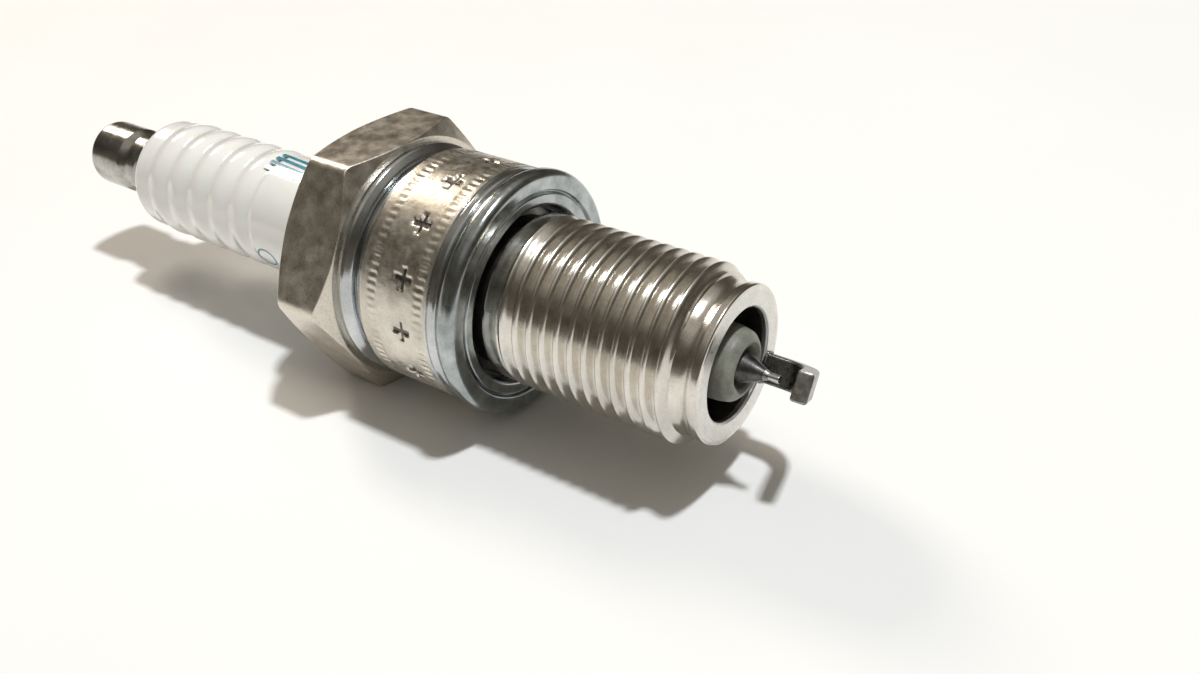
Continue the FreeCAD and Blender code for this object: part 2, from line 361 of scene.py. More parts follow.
def glaze():
    """White glaze: clear gloss over a slightly uneven, faintly speckled body."""
    s = Shader("glaze_white", Roughness=0.16, Coat_Weight=1.0, Coat_Roughness=0.05,
               Subsurface_Weight=0.12, Subsurface_Scale=0.0012)
    cloud = s.ramp(s.noise(0.3, 3.0), (0.3, (0.885, 0.88, 0.85)), (0.7, (0.93, 0.925, 0.90)))
    specks = s.ramp(s.noise(3.4, 2.0), (0.22, 0.5), (0.25, 1.0))
    s.set("Base Color", s.mix(0.4, cloud, s.mix(1.0, cloud, specks, "MULTIPLY")))
    s.bump((s.noise(0.45, 2.0), 0.5, 0.03), (s.noise(4.0, 2.0), 0.2, 0.004))
    return s.material


def ceramic(name, light, dark, scale=1.2, rough=0.62):
    """Unglazed ceramic, glass or powder with two tones and a grainy surface."""
    s = Shader(name)
    cloud = s.noise(scale, 5.0)
    grain = s.noise(scale * 9, 3.0)
    tone = s.mix(s.ramp(cloud, (0.33, 0.0), (0.68, 1.0)), dark, light)
    s.set("Base Color", s.mix(1.0, tone, s.ramp(grain, (0.3, 0.8), (0.6, 1.0)), "MULTIPLY"))
    s.set("Roughness", s.ramp(grain, (0.3, rough * 0.8), (0.7, min(1.0, rough * 1.2))))
    s.bump((grain, 0.5, 0.015), (cloud, 0.4, 0.05))
    return s.material


def ink():
    """Thin teal print with pinholes and a slightly uneven edge tone."""
    s = Shader("ink_teal", Roughness=0.35, Coat_Weight=0.5, Coat_Roughness=0.08)
    cloud = s.ramp(s.noise(1.6, 4.0), (0.3, (0.015, 0.16, 0.24)), (0.7, (0.045, 0.29, 0.38)))
    holes = s.ramp(s.noise(12.0, 2.0), (0.27, (0.6, 0.72, 0.75)), (0.32, (1.0, 1.0, 1.0)))
    s.set("Base Color", s.mix(1.0, cloud, holes, "MULTIPLY"))
    return s.material


NICKEL_LIGHT, NICKEL_DARK = (0.78, 0.735, 0.66), (0.62, 0.58, 0.505)
hex_metal = scratched_hex()
collar_metal = metal("nickel_collar", (0.68, 0.70, 0.71), (0.50, 0.52, 0.53), 0.13, 5.0, 0.010)
barrel_metal = metal("nickel_barrel", NICKEL_LIGHT, NICKEL_DARK, 0.33, 3.0, 0.010, 0.5, 0.03)
thread_metal = metal("nickel_thread", (0.82, 0.785, 0.725), (0.69, 0.655, 0.595), 0.19, 5.0, 0.006)
rim_metal = metal("nickel_rim", (0.80, 0.79, 0.76), (0.72, 0.71, 0.68), 0.36, 4.0, 0.02, 0.9)
stamp_metal = metal("nickel_stamped", (0.20, 0.185, 0.165), (0.10, 0.092, 0.08), 0.45, 5.0, 0.015,
                    1.2)
# painted shade: a dark metal on the neck behind the gasket stands in for the shadow in the gap
# there
neck_painted_shade = metal("nickel_neck_painted_shade", (0.26, 0.245, 0.23), (0.14, 0.13, 0.12), 0.40, 4.0, 0.015)
# painted shade: a near-black metal inside the shell's bore stands in for the shadow there
bore_painted_shade = metal("bore_dark_painted_shade", (0.16, 0.15, 0.145), (0.08, 0.075, 0.07), 0.45, 3.0, 0.02)
zinc = metal("zinc_gasket", (0.52, 0.555, 0.56), (0.32, 0.35, 0.355), 0.20, 4.0, 0.012, 0.6)
# painted shade: a darker copy of the gasket zinc for the inside of the bead and the lip
zinc_painted_shade = metal("zinc_inside_painted_shade", (0.22, 0.24, 0.245), (0.13, 0.145, 0.15), 0.42, 4.0, 0.012)
terminal_metal = metal("nickel_terminal", (0.58, 0.565, 0.53), (0.34, 0.33, 0.305), 0.20, 5.0,
                       0.015, 0.7)
stud_metal = metal("steel_stud", (0.56, 0.55, 0.53), (0.42, 0.41, 0.39), 0.26, 7.0, 0.010)
electrode_metal = metal("nickel_electrode", (0.40, 0.395, 0.38), (0.21, 0.205, 0.195), 0.30, 5.0,
                        0.012, 0.9)
cone_metal = metal("nickel_cone", (0.15, 0.148, 0.145), (0.06, 0.058, 0.056), 0.38, 7.0, 0.012, 0.9)
sheared_metal = metal("nickel_sheared", (0.56, 0.545, 0.515), (0.36, 0.345, 0.325), 0.38, 9.0,
                      0.02, 1.4, 0.02)
tip_metal = metal("noble_tip", (0.78, 0.78, 0.79), (0.60, 0.60, 0.61), 0.20, 9.0, 0.006)
weld_metal = metal("weld_heat", (0.44, 0.42, 0.40), (0.17, 0.16, 0.17), 0.34, 6.0, 0.02, 2.2, 0.03)
packing_metal = metal("packing_steel", (0.52, 0.52, 0.51), (0.36, 0.36, 0.355), 0.34, 5.0, 0.015)
copper = metal("copper_core", (0.86, 0.46, 0.32), (0.66, 0.31, 0.20), 0.28, 6.0, 0.010)
white_glaze = glaze()
# dark olive grey: partly the bare ceramic's own tint, partly painted shade of the nose inside the
# shell
alumina_painted_shade = ceramic("alumina_bare_painted_shade", (0.31, 0.315, 0.262), (0.19, 0.19, 0.158), 0.7, 0.5)
seal_glass = ceramic("seal_glass", (0.20, 0.13, 0.09), (0.06, 0.05, 0.045), 2.0, 0.25)
resistor_body = ceramic("resistor_body", (0.13, 0.12, 0.11), (0.05, 0.045, 0.04), 3.0, 0.7)
talc = ceramic("talc_powder", (0.82, 0.81, 0.77), (0.68, 0.67, 0.63), 1.6, 0.9)
teal = ink()


def finish_piece(piece, body, slot, *nodes):
    """Says what a piece rides on and the CAD nodes that it stands for. The slot argument is not
    used.
    """
    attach(piece, body)
    if nodes:
        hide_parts(*nodes)


# ---- metal shell -------------------------------------------------------------------------
COLUMNS = 180               # faces round the shell
FINE = 3                    # times as many round the stamped barrel
BARREL_ROWS = 56
HEX_CORNER_R = 1.0
CHAMFER_R = 10.3            # where the chamfer meets the hexagon's two end faces
CHAMFER_SLOPE = math.tan(math.radians(30))
FLANGE_R = 8.7              # shell just behind the hexagon
COLLAR_R = 9.75             # collar where it leaves the hexagon
PLUS_COUNT, PLUS_PHASE, PLUS_X = 14, math.radians(76.5), -5.45
PLUS_DEPTH, PLUS_REACH, PLUS_HALF_WIDTH = 0.18, 0.88, 0.25
PLUS_FLOOR = 0.55           # share of the depth below which a stamp is dark
DASH_COUNT, DASH_ROWS = 97, (-8.35, -3.65)
DASH_DEPTH, DASH_HALF_LENGTH, DASH_HALF_WIDTH = 0.07, 0.36, 0.13
BARREL_FROM, BARREL_TO = -9.45, -2.95
STITCH_FROM, STITCH_TO = -9.52, -2.87       # edges of the coarser columns next to the barrel
THREAD_FROM, THREAD_TO = 0.15, 16.3
THREAD_PITCH = 1.25
FIRST_CREST = 1.8           # about where the first full crest stands
LAND_R = 6.86               # plain land between the gasket and the first crest
LAND_END = FIRST_CREST - 0.3
GROOVE_FROM, GROOVE_TO = FIRST_CREST - 0.2, FIRST_CREST + 1.4       # first groove deepens here
GROOVE_SINK = 0.7           # from the land to just past the thread's root
RUN_IN_SLOPE, RUN_OUT_SLOPE = 6.0, 2.0
TOOTH_STEPS = 12
TOOTH_FULLNESS = 0.85       # below 1 widens the crests of the rolled thread
HEX, COLLAR, BARREL, THREAD, RIM, BORE_SHADE, NECK_SHADE, STAMP = range(8)      # material numbers
THREAD_ROOT_R = THREAD_R - 0.73
CREST_X, CREST_DEGREES = 5.31, 56.8         # one place on the middle of a crest
THREAD_PHASE = CREST_X - THREAD_PITCH * CREST_DEGREES / 360


def hexagon_radius(angle):
    """Radius of the rounded hexagon, corners at multiples of 60 degrees."""
    off = abs((angle + math.pi / 6) % (math.pi / 3) - math.pi / 6)
    centre = (HEX_APOTHEM - HEX_CORNER_R) / math.cos(math.pi / 6)
    tangent = math.atan2(HEX_CORNER_R / 2, centre + HEX_CORNER_R * math.cos(math.pi / 6))
    if off > tangent:
        return HEX_APOTHEM / math.cos(math.pi / 6 - off)
    return centre * math.cos(off) + math.sqrt(HEX_CORNER_R ** 2 - (centre * math.sin(off)) ** 2)


def hexagon_rings(skin):
    """Hexagon with rounded chamfer edges; its columns crowd at the corners."""
    even = np.arange(COLUMNS) * TAU / COLUMNS
    crowded = even - 0.1 * np.sin(6 * even)
    outlines = []
    for angle in crowded:
        r = hexagon_radius(angle)
        rise = (r - CHAMFER_R) * CHAMFER_SLOPE
        outlines.append(rounded(
            (HEX_REAR, FLANGE_R), (HEX_REAR, CHAMFER_R, 0.2), (HEX_REAR + rise, r, 0.16),
            (HEX_FRONT - rise, r, 0.16), (HEX_FRONT, CHAMFER_R, 0.2), (HEX_FRONT, COLLAR_R),
            step=12))
    grid = np.array(outlines)
    angle = np.tile(crowded, (grid.shape[1], 1))
    angle[0], angle[-1] = even, even
    skin.rings(grid[:, :, 0].T, grid[:, :, 1].T, angle, HEX)


def stamp_depth(x, angle):
    """How far the barrel's stamped plus marks and dashes go in, in millimetres."""
    place = (angle - PLUS_PHASE) * PLUS_COUNT / TAU
    u = (place - np.round(place)) * TAU / PLUS_COUNT * BARREL_R
    v = x - PLUS_X

    def bar(a, b):
        return np.maximum(np.abs(a) - PLUS_REACH, np.abs(b) - PLUS_HALF_WIDTH)

    edge = np.minimum(bar(u, v), bar(v, u))
    depth = PLUS_DEPTH * smooth_step(0.10, -0.15, edge)
    dash_place = angle * DASH_COUNT / TAU
    across = (dash_place - np.round(dash_place)) * TAU / DASH_COUNT * BARREL_R
    wear = 0.65 + 0.35 * np.sin(3 * angle + 1.1) * np.sin(5 * angle + 0.4)
    for row in DASH_ROWS:
        along = np.abs(x - row) - DASH_HALF_LENGTH
        edge = np.maximum(np.abs(across) - DASH_HALF_WIDTH, along)
        depth += DASH_DEPTH * wear * smooth_step(0.09, -0.05, edge)
    return depth


def metal_shell():
    skin = Skin()
    skin.turned(rounded(
        (-18.3, 7.6), (-19.15, 7.4, 0.8), (-19.2, 5.65, 0.06), (CRIMP_TIP, 5.75, 0.15),
        (CRIMP_TIP, 6.6), (-19.95, 8.65, 1.5), (-18.0, FLANGE_R),
        (HEX_REAR, FLANGE_R)), COLUMNS, COLLAR)
    hexagon_rings(skin)
    skin.turned(rounded(
        (HEX_FRONT, COLLAR_R), (-11.55, 9.88, 0.9), (-10.9, 9.25, 0.8), (-10.8, 8.8, 0.06),
        (-10.5, 8.8, 0.08), (-10.42, 9.25, 0.2), (-9.98, 9.3, 0.1), (-9.88, 9.5, 0.06),
        (-9.6, BARREL_R - 0.02, 0.12), (STITCH_FROM, BARREL_R)), COLUMNS,
        COLLAR)
    skin.stitch(STITCH_FROM, BARREL_R, COLUMNS, BARREL_FROM, BARREL_R, FINE, BARREL)
    x = np.linspace(BARREL_FROM, BARREL_TO, BARREL_ROWS)[:, None]
    angle = (np.arange(COLUMNS * FINE) * TAU / (COLUMNS * FINE))[None]
    depth = stamp_depth(x, angle)
    skin.rings(x, BARREL_R - depth, angle, BARREL)
    deep = depth[:-1] > PLUS_FLOOR * PLUS_DEPTH
    skin.slots[-deep.size:] = np.where(deep, STAMP, BARREL).ravel().tolist()
    skin.stitch(STITCH_TO, BARREL_R, COLUMNS, BARREL_TO, BARREL_R, FINE, BARREL)
    skin.turned(rounded(
        (STITCH_TO, BARREL_R), (-2.8, BARREL_R, 0.05), (-2.74, 9.62, 0.05), (-2.64, 9.75, 0.06),
        (GASKET_BACK, 9.75, 0.6), (GASKET_BACK, 9.0)), COLUMNS, COLLAR)
    # neck behind the gasket, in the dark painted-shade metal
    skin.turned(rounded(
        (GASKET_BACK, 9.0), (GASKET_BACK, NECK_R, 0.1), (THREAD_FROM, NECK_R)), COLUMNS, NECK_SHADE)
    tooth = []
    for k in range(TOOTH_STEPS + 1):
        t = k / TOOTH_STEPS - 0.5
        height = (0.5 + 0.5 * math.cos(TAU * t)) ** TOOTH_FULLNESS
        tooth.append((t * THREAD_PITCH, THREAD_ROOT_R + (THREAD_R - THREAD_ROOT_R) * height))

    def ends(at):
        """Largest radius at each x: neck, plain land, full thread and the run-out."""
        run_in = np.where(at < LAND_END, LAND_R, THREAD_R)
        run_in = np.minimum(run_in, NECK_R + RUN_IN_SLOPE * (at - THREAD_FROM))
        run_out = NECK_R + RUN_OUT_SLOPE * (THREAD_TO - at)
        return np.minimum(run_in, run_out)

    def unfinished_groove(at):
        """Smallest radius at each x: the land's up to the first crest, then past the root."""
        return LAND_R - GROOVE_SINK * smooth_step(GROOVE_FROM, GROOVE_TO, at)

    helix(skin, THREAD_PITCH, tooth, THREAD_FROM, THREAD_TO, ends, THREAD_PHASE, COLUMNS, THREAD,
          fill=unfinished_groove)
    skin.turned(rounded(
        (THREAD_TO, NECK_R), (17.15, 5.86, 1.2), (17.85, 6.13, 0.6), (SHELL_END, 6.14, 0.42),
        (SHELL_END, 5.7)), COLUMNS, THREAD)
    skin.turned(rounded(
        (SHELL_END, 5.7), (SHELL_END, BORE_R + 0.14, 0.05), (SHELL_END - 0.14, BORE_R, 0.05),
        (SHELL_END - 0.5, BORE_R)), COLUMNS, RIM)
    # bore inside the shell, in the near-black painted-shade metal
    skin.turned([
        (SHELL_END - 0.5, BORE_R), (8.0, BORE_R), (7.4, 3.95), (6.15, 3.95), (5.35, 4.75),
        (-2.3, 4.75), (-4.9, 7.6), (-18.3, 7.6)], COLUMNS, BORE_SHADE)
    piece = skin.piece("metal_shell_skin", [
        hex_metal, collar_metal, barrel_metal, thread_metal, rim_metal, bore_painted_shade, neck_painted_shade,
        stamp_metal])
    finish_piece(piece, "plug", "shell_plating", "metal_shell")


BEAD_R, LIP_R = 7.08, 6.88


def gasket():
    """Folded ring: outer fold, land, the gap where the folds meet, inner bead and captive lip.

    The bead's inside and the lip have a darker copy of the zinc, as painted shade.
    """
    skin = Skin()
    back = GASKET_BACK
    outline = np.array(rounded(
        (back, 7.4), (back, GASKET_R, 0.93), (0, GASKET_R, 0.93), (0, 8.62, 0.16),
        (-0.42, 8.45, 0.05), (-0.05, 8.22, 0.16), (-0.05, 7.45, 0.35), (-0.6, BEAD_R, 0.3),
        (-1.1, BEAD_R - 0.04, 0.1), (-1.2, LIP_R, 0.1), (-1.6, LIP_R, 0.1), (back, 7.15, 0.08),
        (back, 7.4)))
    columns = 144
    angle = (np.arange(columns) * TAU / columns)[None]
    wave = 0.018 * np.sin(3 * angle + 0.6) + 0.010 * np.sin(7 * angle)
    front = smooth_step(back + 0.3, -0.2, outline[:, :1])
    x, r = outline[:, :1] + (wave - 0.028) * front, outline[:, 1:] + 0 * angle
    inside = int(np.argmax((outline[:, 0] > back + 0.1) & (outline[:, 1] < BEAD_R + 0.01)))
    skin.rings(x[:inside + 1], r[:inside + 1], angle, 0)
    # the bead's inside and the lip take the darker zinc, as painted shade
    skin.rings(x[inside:], r[inside:], angle, 1)
    piece = skin.piece("gasket_skin", [zinc, zinc_painted_shade])
    finish_piece(piece, "gasket", "gasket_zinc", "gasket")


# ---- insulator and terminal --------------------------------------------------------------
RIB_FIRST, RIB_PITCH, RIB_COUNT, RIB_DEPTH = -29.2, 2.8, 5, 0.24
RIB_STEPS = 18
RIB_FULLNESS = 0.8          # below 1 widens the ribs
GLAZE_FROM = -19.5


def insulator():
    skin = Skin()
    columns = 120
    # nose and the parts inside the shell take the darkened bare alumina, partly painted shade
    skin.turned(rounded(
        (15.0, 1.35), (NOSE_END - 0.9, 1.36, 0.1), (NOSE_END - 0.2, 1.66, 0.2),
        (NOSE_END, 1.95, 0.3), (NOSE_END - 0.1, 2.28, 0.5), (NOSE_END - 0.5, 2.7, 0.6),
        (NOSE_END - 1.4, 2.88, 0.8), (6.6, 3.5), (6.05, 3.75), (5.2, 4.6),
        (-2.6, 4.65), (-5.0, 7.45, 0.3), (-9.6, 7.45, 0.3), (-11.2, 5.2), (GLAZE_FROM, 5.2)),
        columns, 1)
    ribs = []
    start = RIB_FIRST + RIB_PITCH / 2
    for k in range(RIB_COUNT * RIB_STEPS + 1):
        t = k / RIB_STEPS
        wave = (0.5 - 0.5 * math.cos(TAU * t)) ** RIB_FULLNESS
        ribs.append((start - t * RIB_PITCH, INSULATOR_R - RIB_DEPTH * (1 - wave)))
    rear_r = INSULATOR_R - 0.2
    outline = [(GLAZE_FROM, 5.2), (-20.3, 5.2)]
    outline += rounded((-20.3, 5.2), (-20.4, INSULATOR_R, 0.05), (start + 0.5, INSULATOR_R, 0.8),
                       ribs[0])[1:]
    outline += ribs[1:]
    outline += rounded(ribs[-1], (ribs[-1][0] - 0.4, rear_r, 0.3), (INSULATOR_REAR, rear_r, 1.1),
                       (INSULATOR_REAR, 2.0, 0.1), (INSULATOR_REAR + 1.0, 2.0))[1:]
    skin.turned(outline, columns, 0)
    # the insulator's bore, also in the darkened bare alumina
    skin.turned([(INSULATOR_REAR + 1.0, 2.0), (3.0, 2.0), (3.65, 1.35), (15.0, 1.35)], columns, 1)
    piece = skin.piece("insulator_skin", [white_glaze, alumina_painted_shade])
    finish_piece(piece, "plug", "insulator_glaze", "insulator")


def print_patch(skin, corners, lift=0.006, thick=0.004, steps=6):
    """Thin print on the barrel between four (x, angle in degrees) corners, in order."""
    a, b, c, d = (np.array(p, float) for p in corners)
    grid = []
    for i in range(steps + 1):
        for j in range(steps + 1):
            s, t = i / steps, j / steps
            grid.append((1 - s) * ((1 - t) * a + t * b) + s * ((1 - t) * d + t * c))
    points, faces, size = [], [], (steps + 1) ** 2
    for r in (INSULATOR_R + lift, INSULATOR_R + lift - thick):
        for x, degrees in grid:
            t = math.radians(degrees)
            points.append((x, r * math.cos(t), r * math.sin(t)))
    for i in range(steps):
        for j in range(steps):
            q = [i * (steps + 1) + j, i * (steps + 1) + j + 1,
                 (i + 1) * (steps + 1) + j + 1, (i + 1) * (steps + 1) + j]
            faces.append(tuple(q))
            faces.append(tuple(size + n for n in reversed(q)))
    edge = list(range(steps + 1))
    edge += [i * (steps + 1) + steps for i in range(1, steps + 1)]
    edge += [steps * (steps + 1) + j for j in range(steps - 1, -1, -1)]
    edge += [i * (steps + 1) for i in range(steps - 1, 0, -1)]
    for p, q in zip(edge, edge[1:] + edge[:1]):
        faces.append((p, q, size + q, size + p))
    skin.add(points, faces)


def insulator_print():
    """Plain slanted bars on the top of the barrel and a small open ring on its side."""
    skin = Skin()
    for middle in (86.0, 94.0, 102.0, 110.0):
        print_patch(skin, [(-28.3, middle - 5.0), (-28.3, middle - 0.5),
                           (-24.0, middle + 4.0), (-24.0, middle - 0.5)])
    count, centre_x, centre_a = 40, -26.0, 199.0
    ring = []
    for k in range(count):
        t = TAU * k / count
        ring.append((math.cos(t), math.sin(t)))
    for (c0, s0), (c1, s1) in zip(ring, ring[1:] + ring[:1]):
        outer, inner = (1.15, 10.5), (0.95, 8.4)
        print_patch(skin, [
            (centre_x + outer[0] * c0, centre_a + outer[1] * s0),
            (centre_x + outer[0] * c1, centre_a + outer[1] * s1),
            (centre_x + inner[0] * c1, centre_a + inner[1] * s1),
            (centre_x + inner[0] * c0, centre_a + inner[1] * s0)], steps=1)
    piece = skin.piece("insulator_print", [teal])
    finish_piece(piece, "plug", "insulator_glaze")


M4_PITCH, NUT_BORE_R = 0.7, 2.05


def terminal_nut():
    """Solid-post terminal with a tapped bore."""
    skin = Skin()
    columns = 96
    seat, end = nut_high.x, nut_low.x
    bore = NUT_BORE_R
    skin.turned(rounded(
        (seat - 0.45, bore), (seat, bore + 0.4, 0.05), (seat, 3.05, 0.3), (-46.3, 3.05, 0.25),
        (-47.0, 2.85, 0.8), (-48.4, 2.85, 0.8), (-49.3, TERMINAL_R, 0.3),
        (end, TERMINAL_R, 1.2), (end, bore + 0.35, 0.08), (end + 0.35, bore)), columns)
    tooth = rounded((-0.35, bore), (-0.27, bore, 0.03), (-0.03, bore + 0.3, 0.05),
                    (0.03, bore + 0.3, 0.05), (0.27, bore, 0.03), (0.35, bore), step=30, guard=0)
    low, high = end + 0.35, seat - 0.45

    def ends(at):
        return bore + np.minimum(at - low, high - at)

    helix(skin, M4_PITCH, tooth, low, high, ends, low, columns)
    piece = skin.piece("terminal_nut_skin", [terminal_metal])
    finish_piece(piece, "terminal_nut", "terminal_nickel", "terminal_nut")


def terminal_stud():
    skin = Skin()
    columns = 72
    end, major, root = stud_low.x, 1.98, 1.6
    flange_front = INSULATOR_REAR
    flange_back = flange_front - 0.7
    skin.turned(rounded(
        (stud_high.x, 0), (stud_high.x, 1.6, 0.2), (-16.1, 1.6), (-16.1, 1.95),
        (flange_front, 1.95), (flange_front, 2.7, 0.08), (flange_back, 2.7, 0.12),
        (flange_back, root, 0.05), (flange_back - 0.15, root)), columns)
    low, high = end + 0.25, flange_back - 0.15
    tooth = rounded((-0.35, root), (-0.27, root, 0.05), (-0.05, major, 0.04),
                    (0.05, major, 0.04), (0.27, root, 0.05), (0.35, root), step=30, guard=0)

    def ends(at):
        return np.minimum(root - 0.15 + 1.2 * (at - low), root + 1.2 * (high - at))

    helix(skin, M4_PITCH, tooth, low, high, ends, low, columns)
    skin.turned(rounded((low, root - 0.15), (end, 1.2, 0.1), (end, 0)), columns)
    piece = skin.piece("terminal_stud_skin", [stud_metal])
    finish_piece(piece, "plug", "stud_steel", "terminal_stud")


# ---- electrodes ----------------------------------------------------------------------------
def centre_electrode():
    skin = Skin()
    cone_end = weld_low.x
    skin.turned(rounded(
        (17.0, 0), (17.0, 0.8), (1.6, 0.8), (1.6, 1.7), (3.3, 1.7), (3.7, 1.3), (3.75, 1.25),
        (NOSE_END - 0.35, 1.25, 0.12), (cone_end, 0.45), (cone_end, 0)), 64)
    piece = skin.piece("centre_electrode_skin", [cone_metal])
    finish_piece(piece, "plug", "electrode_nickel", "centre_electrode")

    skin = Skin()
    columns = 48
    angle = (np.arange(columns) * TAU / columns)[None]
    outline = np.array(rounded((cone_end, 0), (cone_end, 0.45, 0.03), (cone_end + 0.22, 0.37, 0.3),
                               (weld_high.x, 0.3), (weld_high.x, 0)))
    lumps = 1 + 0.035 * np.sin(8 * angle) * np.sin(3 * angle + 0.7)
    skin.rings(outline[:, :1], outline[:, 1:] * lumps, angle)
    piece = skin.piece("tip_weld_skin", [weld_metal])
    finish_piece(piece, "plug", "electrode_nickel", "tip_weld")

    skin = Skin()
    skin.turned(rounded((tip_low.x, 0), (tip_low.x, 0.3), (tip_high.x, 0.3, 0.07),
                        (tip_high.x, 0)), 48)
    piece = skin.piece("electrode_tip_skin", [tip_metal])
    finish_piece(piece, "plug", "tip_noble", "electrode_tip")


STRAP_ANGLE = math.radians(-32)
STRAP_WIDTH, STRAP_THICK, STRAP_INNER_R = 2.3, 1.25, 4.5
STRAP_BEND_R, STRAP_BEND = 1.8, math.radians(75)
STRAP_FREE_R = -0.4
STRAP_BEND_STEPS = 16
STRAP_CORNER_POINTS = 6     # round each of the section's four corners
SPARK_GAP = 1.1


def strap_side(points):
    """Points (x, radial, across) of the strap's own plane, turned to its side of the rim."""
    x, radial, across = np.asarray(points, float).T
    c, s = math.cos(STRAP_ANGLE), math.sin(STRAP_ANGLE)
    return np.stack([x, radial * c - across * s, radial * s + across * c], -1)


def sleeve(rows, size):
    """Faces between closed loops of `size` points, row after row."""
    faces = []
    for i in range(rows - 1):
        for j in range(size):
            k = (j + 1) % size
            faces.append((i * size + j, i * size + k, (i + 1) * size + k, (i + 1) * size + j))
    return faces


def ground_electrode():
    """Rounded flat wire swept along its bend; the free end is sheared, with a rolled edge."""
    middle = STRAP_THICK / 2
    slope = 1 / math.tan(STRAP_BEND)
    centre_r = STRAP_INNER_R - STRAP_BEND_R
    bend_end_r = centre_r + STRAP_BEND_R * math.cos(STRAP_BEND)
    arm_x = tip_high.x + SPARK_GAP
    centre_x = arm_x - bend_end_r * slope - STRAP_BEND_R * math.sin(STRAP_BEND)
    radius = STRAP_BEND_R + middle
    path = [(SHELL_END - 0.04, STRAP_INNER_R + middle, 0.0)]
    path += [(x, STRAP_INNER_R + middle, 0.0) for x in np.linspace(SHELL_END + 0.2, centre_x, 5)]
    for k in range(1, STRAP_BEND_STEPS + 1):
        a = STRAP_BEND * k / STRAP_BEND_STEPS
        path.append((centre_x + radius * math.sin(a), centre_r + radius * math.cos(a), a))
    along = np.array([math.cos(STRAP_BEND), -math.sin(STRAP_BEND)])
    out = np.array([math.sin(STRAP_BEND), math.cos(STRAP_BEND)])
    free = np.array([arm_x - STRAP_FREE_R * slope, STRAP_FREE_R]) + middle * out
    start = np.array(path[-1][:2])
    length = float((free - start) @ along)
    for s in (0.2, 0.45, 0.7, 1 - 0.16 / length, 1 - 0.05 / length, 1.0):
        path.append((*(start + along * length * s), STRAP_BEND))

    def section(inset):
        half_w, half_t = STRAP_WIDTH / 2 - inset, middle - inset
        corner = 0.24 if inset == 0 else 0.2
        loop = []
        for q, (sw, st) in enumerate(((1, 1), (-1, 1), (-1, -1), (1, -1))):
            for k in range(STRAP_CORNER_POINTS):
                a = math.pi / 2 * (q + k / (STRAP_CORNER_POINTS - 1))
                loop.append((sw * (half_w - corner) + corner * math.cos(a),
                             st * (half_t - corner) + corner * math.sin(a)))
        return loop

    skin, rows, size = Skin(), [], 4 * STRAP_CORNER_POINTS
    insets = [0.0] * (len(path) - 2) + [0.02, 0.09]
    for (x, r, a), inset in zip(path, insets):
        rows += [(x + t * math.sin(a), r + t * math.cos(a), w) for w, t in section(inset)]
    rows = np.array(rows)
    for i in range(len(rows)):
        wobble = noise.noise(Vector(rows[i] * 0.9)) * 0.018
        rows[i, 1] += wobble
    skin.add(strap_side(rows), sleeve(len(path), size) + [tuple(range(size))])

    # sheared end: a slightly domed face with its own material
    last = rows[-size:]
    centre = last.mean(0)
    rings = [last, centre + (last - centre) * 0.93, centre + (last - centre) * 0.55, centre[None]]
    lift = (0.0, 0.012, 0.02, 0.022)
    points = np.concatenate([
        ring + np.array([*(along * h), 0.0]) for ring, h in zip(rings, lift)])
    faces = sleeve(3, size)
    faces += [(2 * size + j, 2 * size + (j + 1) % size, 3 * size) for j in range(size)]
    skin.add(strap_side(points), faces, 1)
    piece = skin.piece("ground_electrode_skin", [electrode_metal, sheared_metal], sharp=40)
    finish_piece(piece, "plug", "electrode_nickel", "ground_electrode")


def ground_weld():
    """Lumpy bead squeezed out of the joint all round the strap's foot."""
    skin = Skin()
    around, across = 72, 10
    half_w, half_t = STRAP_WIDTH / 2 + 0.02, STRAP_THICK / 2
    middle_r = STRAP_INNER_R + STRAP_THICK / 2
    points, faces = [], []
    for j in range(around):
        a = TAU * j / around
        c, s = math.cos(a), math.sin(a)
        power = 0.35
        u = math.copysign(abs(c) ** power, c) * half_w
        v = math.copysign(abs(s) ** power, s) * half_t
        lump = 0.12 + 0.05 * noise.noise(Vector((3 * c, 3 * s, 1.7)))
        lump *= 0.55 if v > 0.3 else 1.0
        for k in range(across):
            b = TAU * k / across
            out = lump * (0.55 + math.cos(b))
            up = lump * 1.25 * math.sin(b)
            points.append((SHELL_END + 0.03 + up, middle_r + v + out * s * 0.7, u + out * c * 0.7))
    for j in range(around):
        for k in range(across):
            n, m = (j + 1) % around, (k + 1) % across
            faces.append((j * across + k, n * across + k, n * across + m, j * across + m))
    skin.add(strap_side(points), faces)
    piece = skin.piece("ground_weld_skin", [weld_metal], sharp=60)
    finish_piece(piece, "plug", "electrode_nickel", "ground_electrode_weld")


metal_shell()
gasket()
insulator()
insulator_print()
terminal_nut()
terminal_stud()
centre_electrode()
ground_electrode()
ground_weld()

for node, material in {
    "upper_glass_seal": seal_glass, "lower_glass_seal": seal_glass, "resistor": resistor_body,
    "copper_core": copper, "talc_ring": talc, "seat_washer": packing_metal,
    "lower_packing_ring": packing_metal, "upper_packing_ring": packing_metal,
}.items():
    mesh = frame["nodes"][node].data
    mesh.materials.clear()
    mesh.materials.append(material)


# ---- floor, light and camera ------------------------------------------------------------------
def floor():
    size = 1.6
    mesh = bpy.data.meshes.new("floor")
    z = FLOOR_Z * MM
    corners = [(-size, -size, z), (size, -size, z), (size, size, z), (-size, size, z)]
    mesh.from_pydata(corners, [], [(0, 1, 2, 3)])
    s = Shader("paper_white", Roughness=0.8)
    tone = s.ramp(s.noise(0.02, 4.0), (0.3, (0.86, 0.86, 0.855)), (0.7, (0.88, 0.88, 0.875)))
    s.set("Base Color", tone)
    mesh.materials.append(s.material)
    obj = bpy.data.objects.new("floor", mesh)
    bpy.context.scene.collection.objects.link(obj)


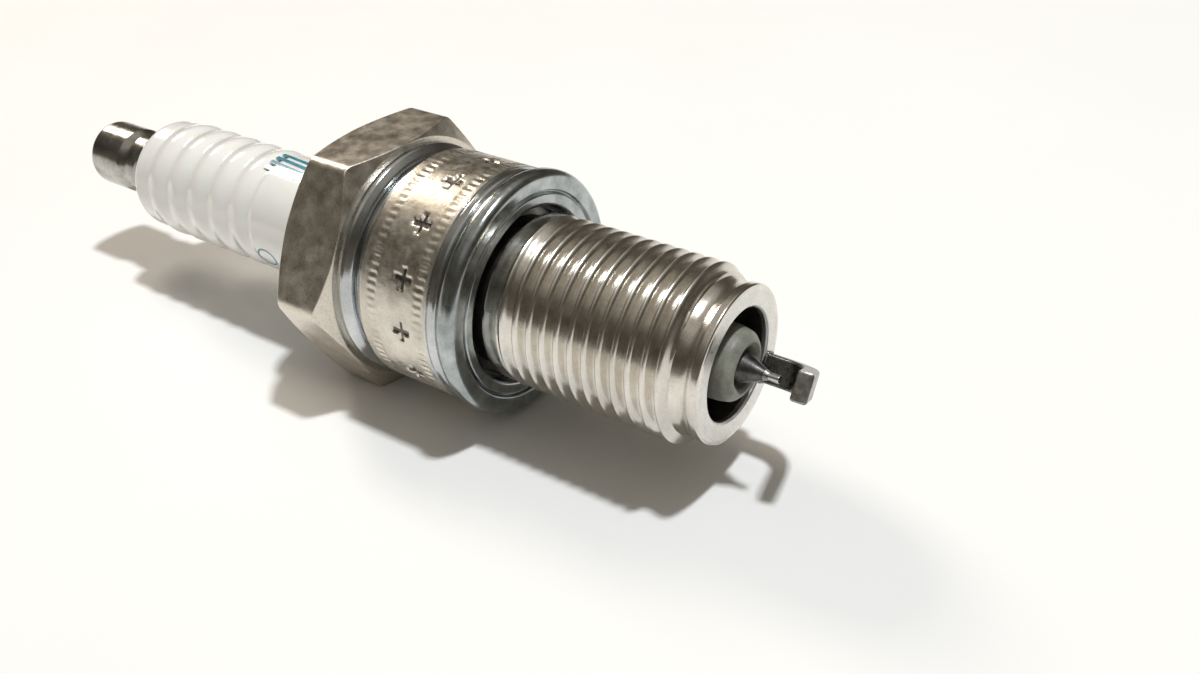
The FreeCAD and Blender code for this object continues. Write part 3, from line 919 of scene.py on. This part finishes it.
def aim(obj, place, target):
    direction = Vector(target) - Vector(place)
    turn = direction.to_track_quat("-Z", "Y").to_matrix().to_4x4()
    obj.matrix_world = Matrix.Translation(place) @ turn


def lamp(name, direction, distance, size, power, colour):
    """Soft box that looks at the plug from a direction."""
    data = bpy.data.lights.new(name, "AREA")
    data.shape = "RECTANGLE"
    data.size, data.size_y = size
    data.energy = power
    data.color = colour
    obj = bpy.data.objects.new(name, data)
    bpy.context.scene.collection.objects.link(obj)
    aim(obj, Vector(direction).normalized() * distance, (0, 0, 0))


def world():
    """Bright overhead, brown below and dimmest a third of the way up; the camera sees it pale."""
    w = bpy.data.worlds.new("studio")
    bpy.context.scene.world = w
    w.use_nodes = True
    tree = w.node_tree
    background = tree.nodes["Background"]
    coordinate = tree.nodes.new("ShaderNodeTexCoord")
    parts = tree.nodes.new("ShaderNodeSeparateXYZ")
    tree.links.new(coordinate.outputs["Generated"], parts.inputs[0])
    ramp = tree.nodes.new("ShaderNodeValToRGB")
    tree.links.new(parts.outputs["Z"], ramp.inputs["Fac"])
    stops = ((0.0, (0.30, 0.265, 0.215)), (0.35, (0.145, 0.125, 0.10)), (0.62, (0.26, 0.24, 0.20)),
             (0.85, (0.86, 0.80, 0.70)))
    set_stops(ramp.color_ramp.elements, stops)
    seen = tree.nodes.new("ShaderNodeLightPath")
    mix = tree.nodes.new("ShaderNodeMix")
    mix.data_type = "RGBA"
    tree.links.new(seen.outputs["Is Camera Ray"], mix.inputs[0])
    tree.links.new(ramp.outputs["Color"], mix.inputs[6])
    mix.inputs[7].default_value = (1.86, 1.88, 1.85, 1)
    tree.links.new(mix.outputs[2], background.inputs["Color"])
    background.inputs["Strength"].default_value = 0.5


def camera():
    data = bpy.data.cameras.new("camera")
    data.lens = 35.12
    data.sensor_width = 36
    data.clip_start, data.clip_end = 0.001, 10
    obj = bpy.data.objects.new("camera", data)
    bpy.context.scene.collection.objects.link(obj)
    right = Vector((0.82134, 0.56943, -0.03405))
    down = Vector((0.29147, -0.47023, -0.83303))
    turn = Matrix((right, -down, -right.cross(down))).transposed().to_4x4()
    place = Vector((50.932, -61.484, 48.539)) * MM
    obj.matrix_world = Matrix.Translation(place) @ turn
    bpy.context.scene.camera = obj


floor()
lamp("key_overhead", (0.22, 0.07, 1.0), 0.6, (0.045, 0.045), 2.75, (0.95, 0.98, 1.0))
lamp("warm_side", (-1.25, 0.35, 1.0), 0.7, (0.18, 0.18), 1.8, (1.0, 0.88, 0.74))
world()
camera()
bpy.context.scene.view_settings.view_transform = "Standard"
